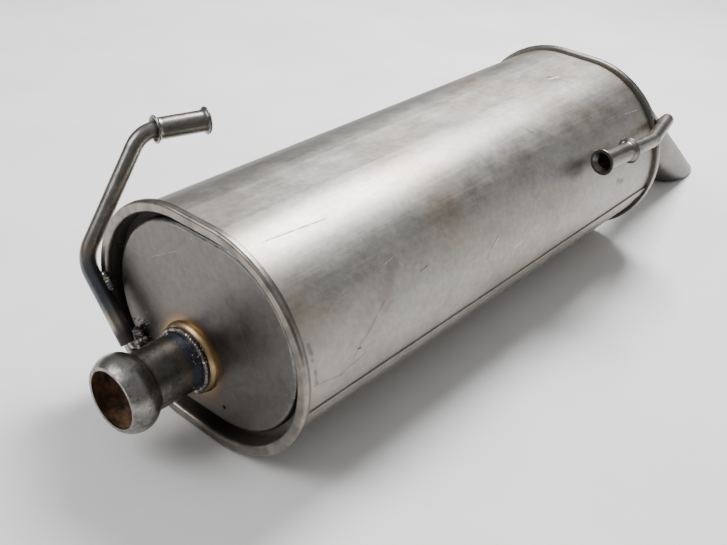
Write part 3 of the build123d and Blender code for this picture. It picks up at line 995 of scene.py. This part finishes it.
def cube_size(half: float) -> Vector:
    """The same half size along each axis."""
    return Vector((half, half, half))


# ---------------------------------------------------------------- sub-assemblies


def dress_node(node: str, material: bpy.types.Material) -> None:
    """Gives a CAD node its finish.

    Args:
        node: the node's name.
        material: the finish.
    """
    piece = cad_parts[node]
    if not piece.material_slots:
        piece.data.materials.append(material)
    for place in piece.material_slots:
        place.material = material
    log.info("%s wears %s", node, material.name)


@dataclass(frozen=True)
class Body:
    """The shell, its ends and all that it holds.

    Attributes:
        steel_inside: nodes of the inner skin, the baffles and the perforated tubes.
        mesh_inside: nodes of the mesh wraps.
    """

    steel_inside: tuple[str, ...] = (
        "inner_shell", "front_baffle", "rear_baffle", "inlet_perforated_tube", "transfer_tube",
        "outlet_perforated_tube",
    )
    mesh_inside: tuple[str, ...] = ("inlet_mesh", "outlet_mesh")

    def dress(self) -> None:
        """Gives every node of the body its finish."""
        dress_node("outer_shell", SHELL_STEEL.material())
        dress_node("front_end_cap", FRONT_CAP_STEEL.material())
        dress_node("rear_end_cap", REAR_CAP_STEEL.material())
        for nodes, finish in ((self.steel_inside, INNER_STEEL), (self.mesh_inside, MESH_STEEL)):
            shared = finish.material()
            for node in nodes:
                dress_node(node, shared)
        dress_node("wool_packing", GLASS_WOOL.material())


@dataclass(frozen=True)
class PipeEnd:
    """A pipe and the bead that closes it to its end cap.

    Attributes:
        node: the pipe.
        weld: the weld that the bead replaces.
        finish: the pipe's finish.
        centre: middle of the bead's ring.
        out: the way the bead faces.
        crumbs: number of spatter drops.
    """

    node: str
    weld: str
    finish: Finish
    centre: Vector
    out: Vector
    crumbs: int

    RING_RADIUS = 22.55 * MM
    BEAD_RADIUS = 2.1 * MM
    PIPE_SURFACE = 21.25 * MM
    COLLAR_EDGE = 23.8 * MM
    SEED = 3.1

    def dress(self) -> None:
        """Gives the pipe its finish."""
        dress_node(self.node, self.finish.material())

    def build(self, metal: bpy.types.Material) -> None:
        """Lays the bead and scatters its spatter.

        Args:
            metal: the welds' finish.
        """
        shape = bmesh.new()
        ring = hoop(self.centre, self.out, self.RING_RADIUS)
        Bead(ring, self.BEAD_RADIUS, self.out, closed=True).lay(shape, self.SEED)
        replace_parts(whole(f"{self.weld}_bead", shape, metal), self.weld)
        self.scatter(metal)

    def scatter(self, metal: bpy.types.Material) -> None:
        """Puts two drops in three on the pipe, and the third on the cap's collar.

        Args:
            metal: the welds' finish.
        """
        chance = random.Random(self.weld)
        shape = bmesh.new()
        first = self.out.orthogonal().normalized()
        second = self.out.cross(first)
        for number in range(self.crumbs):
            turn = chance.uniform(0.0, tau)
            size = chance.uniform(0.28, 0.75) * MM
            away = first * cos(turn) + second * sin(turn)
            if number % 3:
                along = 1.6 * MM + chance.expovariate(1.0 / (5.0 * MM))
                place = self.centre + away * self.PIPE_SURFACE + self.out * min(along, 20.0 * MM)
            else:
                reach = self.COLLAR_EDGE + 2.2 * chance.random() * MM
                place = self.centre + away * reach - self.out * (0.9 * MM)
            Drop(place, cube_size(size), chance.uniform(0.0, 50.0)).lay(shape)
        whole(f"{self.weld}_spatter", shape, metal)


@dataclass(frozen=True)
class Hanger:
    """A hanger rod, its sleeve and its welds.

    Attributes:
        rod: the rod's node.
        sleeve: the sleeve's node.
        weld: the weld's node, which the beads replace.
        foot: the rod's end on the body.
        corner: the far end of its lowest run.
        out: the way its end of the body faces.
        share: where along that run it crosses the rim.
    """

    rod: str
    sleeve: str
    weld: str
    foot: Vector
    corner: Vector
    out: Vector
    share: float = 0.68

    RIM_DEPTH = 5.1 * MM        # from the rod's axis to the rim beads'
    RIM_SPREAD = 5.0 * MM       # each side of the rod
    RIM_BEAD = (7.5 * MM, 3.0 * MM)
    FOOT_DEPTH = 6.6 * MM       # from the rod's axis to the middle of its foot's weld
    FOOT_SIZE = at(6.4, 7.6, 7.6)
    FOOT_KNOBS = 7
    CRUMBS = 46
    PANEL_DEPTH = 13.0 * MM     # from the rod's axis to the end panel
    PANEL_REACH = 65.5 * MM     # the panel's extent from the section's middle line

    @property
    def crossing(self) -> Vector:
        """Where the rod's axis crosses the rim."""
        return self.foot.lerp(self.corner, self.share)

    @property
    def run(self) -> Vector:
        """The way the rod's lowest run goes."""
        return (self.corner - self.foot).normalized()

    def around(self, turn: float) -> Vector:
        """A way in the plane of the body's end, turned from the rod's own."""
        side = self.run.cross(self.out).normalized()
        return self.run * cos(turn) + side * sin(turn)

    def dress(self) -> None:
        """Gives the rod its finish."""
        finish = RodFinish(
            f"{self.rod}_steel", (0.27, 0.255, 0.237), tint=(0.18, 0.155, 0.13),
            brush=(500.0, 40.0, 40.0), brush_depth=0.16, dents=0.2 * MM,
            foot=self.foot, crossing=self.crossing,
        )
        dress_node(self.rod, finish.material())

    def build(self, metal: bpy.types.Material) -> None:
        """Lays the beads on the rim and the weld at the foot, then its spatter.

        Args:
            metal: the welds' finish.
        """
        chance = random.Random(self.weld)
        shape = bmesh.new()
        self.lay_rim_beads(shape)
        self.lay_foot(shape, chance)
        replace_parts(whole(f"{self.weld}_beads", shape, metal), self.weld)
        self.scatter(metal, chance)

    def lay_rim_beads(self, shape: bmesh.types.BMesh) -> None:
        """Adds one bead on each side of the rod, where it crosses the rim.

        Args:
            shape: where their faces go.
        """
        half, radius = self.RIM_BEAD
        side = self.run.cross(self.out).normalized()
        seat = self.crossing - self.out * self.RIM_DEPTH
        for number, sign in enumerate((1.0, -1.0)):
            middle = seat + side * sign * self.RIM_SPREAD
            path = line(middle - self.run * half, middle + self.run * half)
            way = (self.out + side * sign).normalized()
            Bead(path, radius, way, pitch=2.1 * MM).lay(shape, number * 7.0)

    def lay_foot(self, shape: bmesh.types.BMesh, chance: random.Random) -> None:
        """Adds the lump that ties the rod's foot to the panel, with knobs round it.

        Args:
            shape: where their faces go.
            chance: the weld's own random numbers.
        """
        base = self.foot - self.out * self.FOOT_DEPTH
        Drop(base, self.FOOT_SIZE, 5.0, 4, 0.28).lay(shape)
        for number in range(self.FOOT_KNOBS):
            turn = tau * (number + chance.random() * 0.5) / self.FOOT_KNOBS
            place = base + self.around(turn) * 6.0 * MM - self.out * 3.2 * MM
            size = chance.uniform(1.6, 2.6) * MM
            Drop(place, cube_size(size), chance.uniform(0.0, 50.0), 3).lay(shape)

    def scatter(self, metal: bpy.types.Material, chance: random.Random) -> None:
        """Scatters drops on the panel round the rod's foot.

        Args:
            metal: the welds' finish.
            chance: the weld's own random numbers.
        """
        shape = bmesh.new()
        for _ in range(self.CRUMBS):
            turn = chance.uniform(0.0, tau)
            reach = (8.0 + chance.expovariate(1.0 / 5.0)) * MM
            flat = self.foot + self.around(turn) * min(reach, 24.0 * MM)
            spread = hypot(max(abs(flat.y - BODY_Y) - HALF_FLAT, 0.0), flat.z - BODY_Z)
            if spread < self.PANEL_REACH:
                size = chance.uniform(0.25, 0.7) * MM
                place = flat - self.out * self.PANEL_DEPTH
                Drop(place, cube_size(size), chance.uniform(0.0, 50.0)).lay(shape)
        whole(f"{self.weld}_spatter", shape, metal)


# ---------------------------------------------------------------- studio


@dataclass(frozen=True)
class SoftBox:
    """A rectangular light that faces the body.

    Attributes:
        name: its name.
        way: the direction it stands in, seen from the body.
        far: its distance.
        size: width and height.
        power: watts.
    """

    name: str
    way: Vector
    far: float
    size: tuple[float, float]
    power: float

    AIM = at(262.8, -12, 40)

    def build(self) -> None:
        """Hangs the light."""
        light = bpy.data.lights.new(self.name, "AREA")
        light.shape = "RECTANGLE"
        light.size, light.size_y = self.size
        light.energy = self.power
        lamp = bpy.data.objects.new(self.name, light)
        lamp.location = self.AIM + self.way.normalized() * self.far
        lamp.rotation_euler = (self.AIM - lamp.location).to_track_quat("-Z", "Y").to_euler()
        bpy.context.scene.collection.objects.link(lamp)


@dataclass(frozen=True)
class Studio:
    """The floor, the lights and the camera.

    Attributes:
        floor_z: height of the floor.
        floor_half: half the floor's width.
        eye: the camera's place.
        heading: the way it looks, in degrees from X towards Y.
        pitch: how far it looks down, in degrees.
        roll: how far it leans, in degrees.
        focal: its focal length on a 36 mm sensor.
        sky: height above the horizon and colour, from the horizon up.
        sky_strength: brightness of the sky.
    """

    floor_z: float
    floor_half: float = 14.0
    eye: Vector = field(default_factory=lambda: at(-309.6, -409.9, 403.7))
    heading: float = 38.05
    pitch: float = 31.95
    roll: float = 4.66
    focal: float = 47.96
    sky: tuple[tuple[float, Colour], ...] = (
        (0.0, (0.30, 0.27, 0.24)), (0.16, (0.36, 0.335, 0.31)),
        (0.45, (0.48, 0.48, 0.48)), (1.0, (0.88, 0.90, 0.93)),
    )
    sky_strength: float = 0.6

    LIGHTS = (
        SoftBox("key", Vector((0.58, 0.2, 0.9)), 1.5, (0.6, 0.55), 46.0),
        SoftBox("fill", Vector((-0.9, 0.5, 0.9)), 1.9, (1.0, 1.0), 20.0),
        SoftBox("side", Vector((0.75, -0.7, 0.14)), 2.4, (2.0, 0.8), 5.0),
    )

    def lay_floor(self) -> None:
        """Lays a plain pale floor."""
        shape = bmesh.new()
        bmesh.ops.create_grid(shape, x_segments=1, y_segments=1, size=self.floor_half)
        mesh = bpy.data.meshes.new("floor")
        shape.to_mesh(mesh)
        shape.free()
        graph = Graph("floor")
        tone = graph.grain(7.0, 4.0)
        colour = graph.paint((0.86, 0.85, 0.84), (0.91, 0.905, 0.90), tone.rise(0.35, 0.65))
        mesh.materials.append(graph.finish(colour, tone * 0.1 + 0.55, metallic=0.0))
        floor = bpy.data.objects.new("floor", mesh)
        floor.location = (0.3, 0.0, self.floor_z)
        bpy.context.scene.collection.objects.link(floor)

    def light_sky(self) -> None:
        """Makes soft light all round: bright above, dim and warm at the horizon."""
        world = bpy.data.worlds.new("studio")
        world.use_nodes = True
        bpy.context.scene.world = world
        nodes, links = world.node_tree.nodes, world.node_tree.links
        place = nodes.new("ShaderNodeTexCoord")
        split = nodes.new("ShaderNodeSeparateXYZ")
        ramp = nodes.new("ShaderNodeValToRGB")
        links.new(place.outputs["Generated"], split.inputs[0])
        links.new(split.outputs[2], ramp.inputs[0])
        stops = ramp.color_ramp.elements
        for height, _ in self.sky[1:-1]:
            stops.new(height)
        for stop, (height, colour) in zip(stops, self.sky):
            stop.position = height
            stop.color = (*colour, 1.0)
        background = nodes["Background"]
        links.new(ramp.outputs[0], background.inputs[0])
        background.inputs[1].default_value = self.sky_strength

    def place_camera(self) -> None:
        """Sets the camera in front of the inlet, above it and to one side."""
        heading, pitch, roll = radians(self.heading), radians(self.pitch), radians(self.roll)
        forward = Vector((cos(pitch) * cos(heading), cos(pitch) * sin(heading), -sin(pitch)))
        level = Vector((sin(heading), -cos(heading), 0.0))
        upright = level.cross(forward)
        right = level * cos(roll) + upright * sin(roll)
        up = right.cross(forward)
        lens = bpy.data.cameras.new("camera")
        lens.lens, lens.sensor_width = self.focal, 36.0
        lens.clip_start, lens.clip_end = 0.02, 30.0
        camera = bpy.data.objects.new("camera", lens)
        turn = Matrix((right, up, -forward)).transposed().to_4x4()
        camera.matrix_world = Matrix.Translation(self.eye) @ turn
        bpy.context.scene.collection.objects.link(camera)
        bpy.context.scene.camera = camera

    def build(self) -> None:
        """Sets up the whole studio."""
        self.lay_floor()
        self.light_sky()
        for light in self.LIGHTS:
            light.build()
        self.place_camera()


def main() -> None:
    """Dresses the body, lays the welds and sets up the studio."""
    logging.basicConfig(level=logging.INFO, format="%(message)s")
    metal = WELD_METAL.material()
    Body().dress()
    pipes = (
        PipeEnd("inlet_pipe", "inlet_weld", INLET_STEEL, at(26.2, 0, 0), FORWARD, 110),
        PipeEnd("tail_pipe", "tail_weld", TAIL_STEEL, at(499.4, -56, 59), BACKWARD, 60),
    )
    hangers = (
        Hanger("front_hanger_rod", "front_hanger_sleeve", "front_hanger_weld",
               at(19.7, 51.3, -9.4), at(19.7, 95.8, 40.5), FORWARD),
        Hanger("rear_hanger_rod", "rear_hanger_sleeve", "rear_hanger_weld",
               at(505.9, -78, 28), at(505.9, -107.2, 78.8), BACKWARD),
    )
    for part in (*pipes, *hangers):
        part.dress()
        part.build(metal)
    sleeves = SLEEVE_STEEL.material()
    for hanger in hangers:
        dress_node(hanger.sleeve, sleeves)
    Studio(CAD_BOUNDS[0][2]).build()


if __name__ == "__main__":
    main()
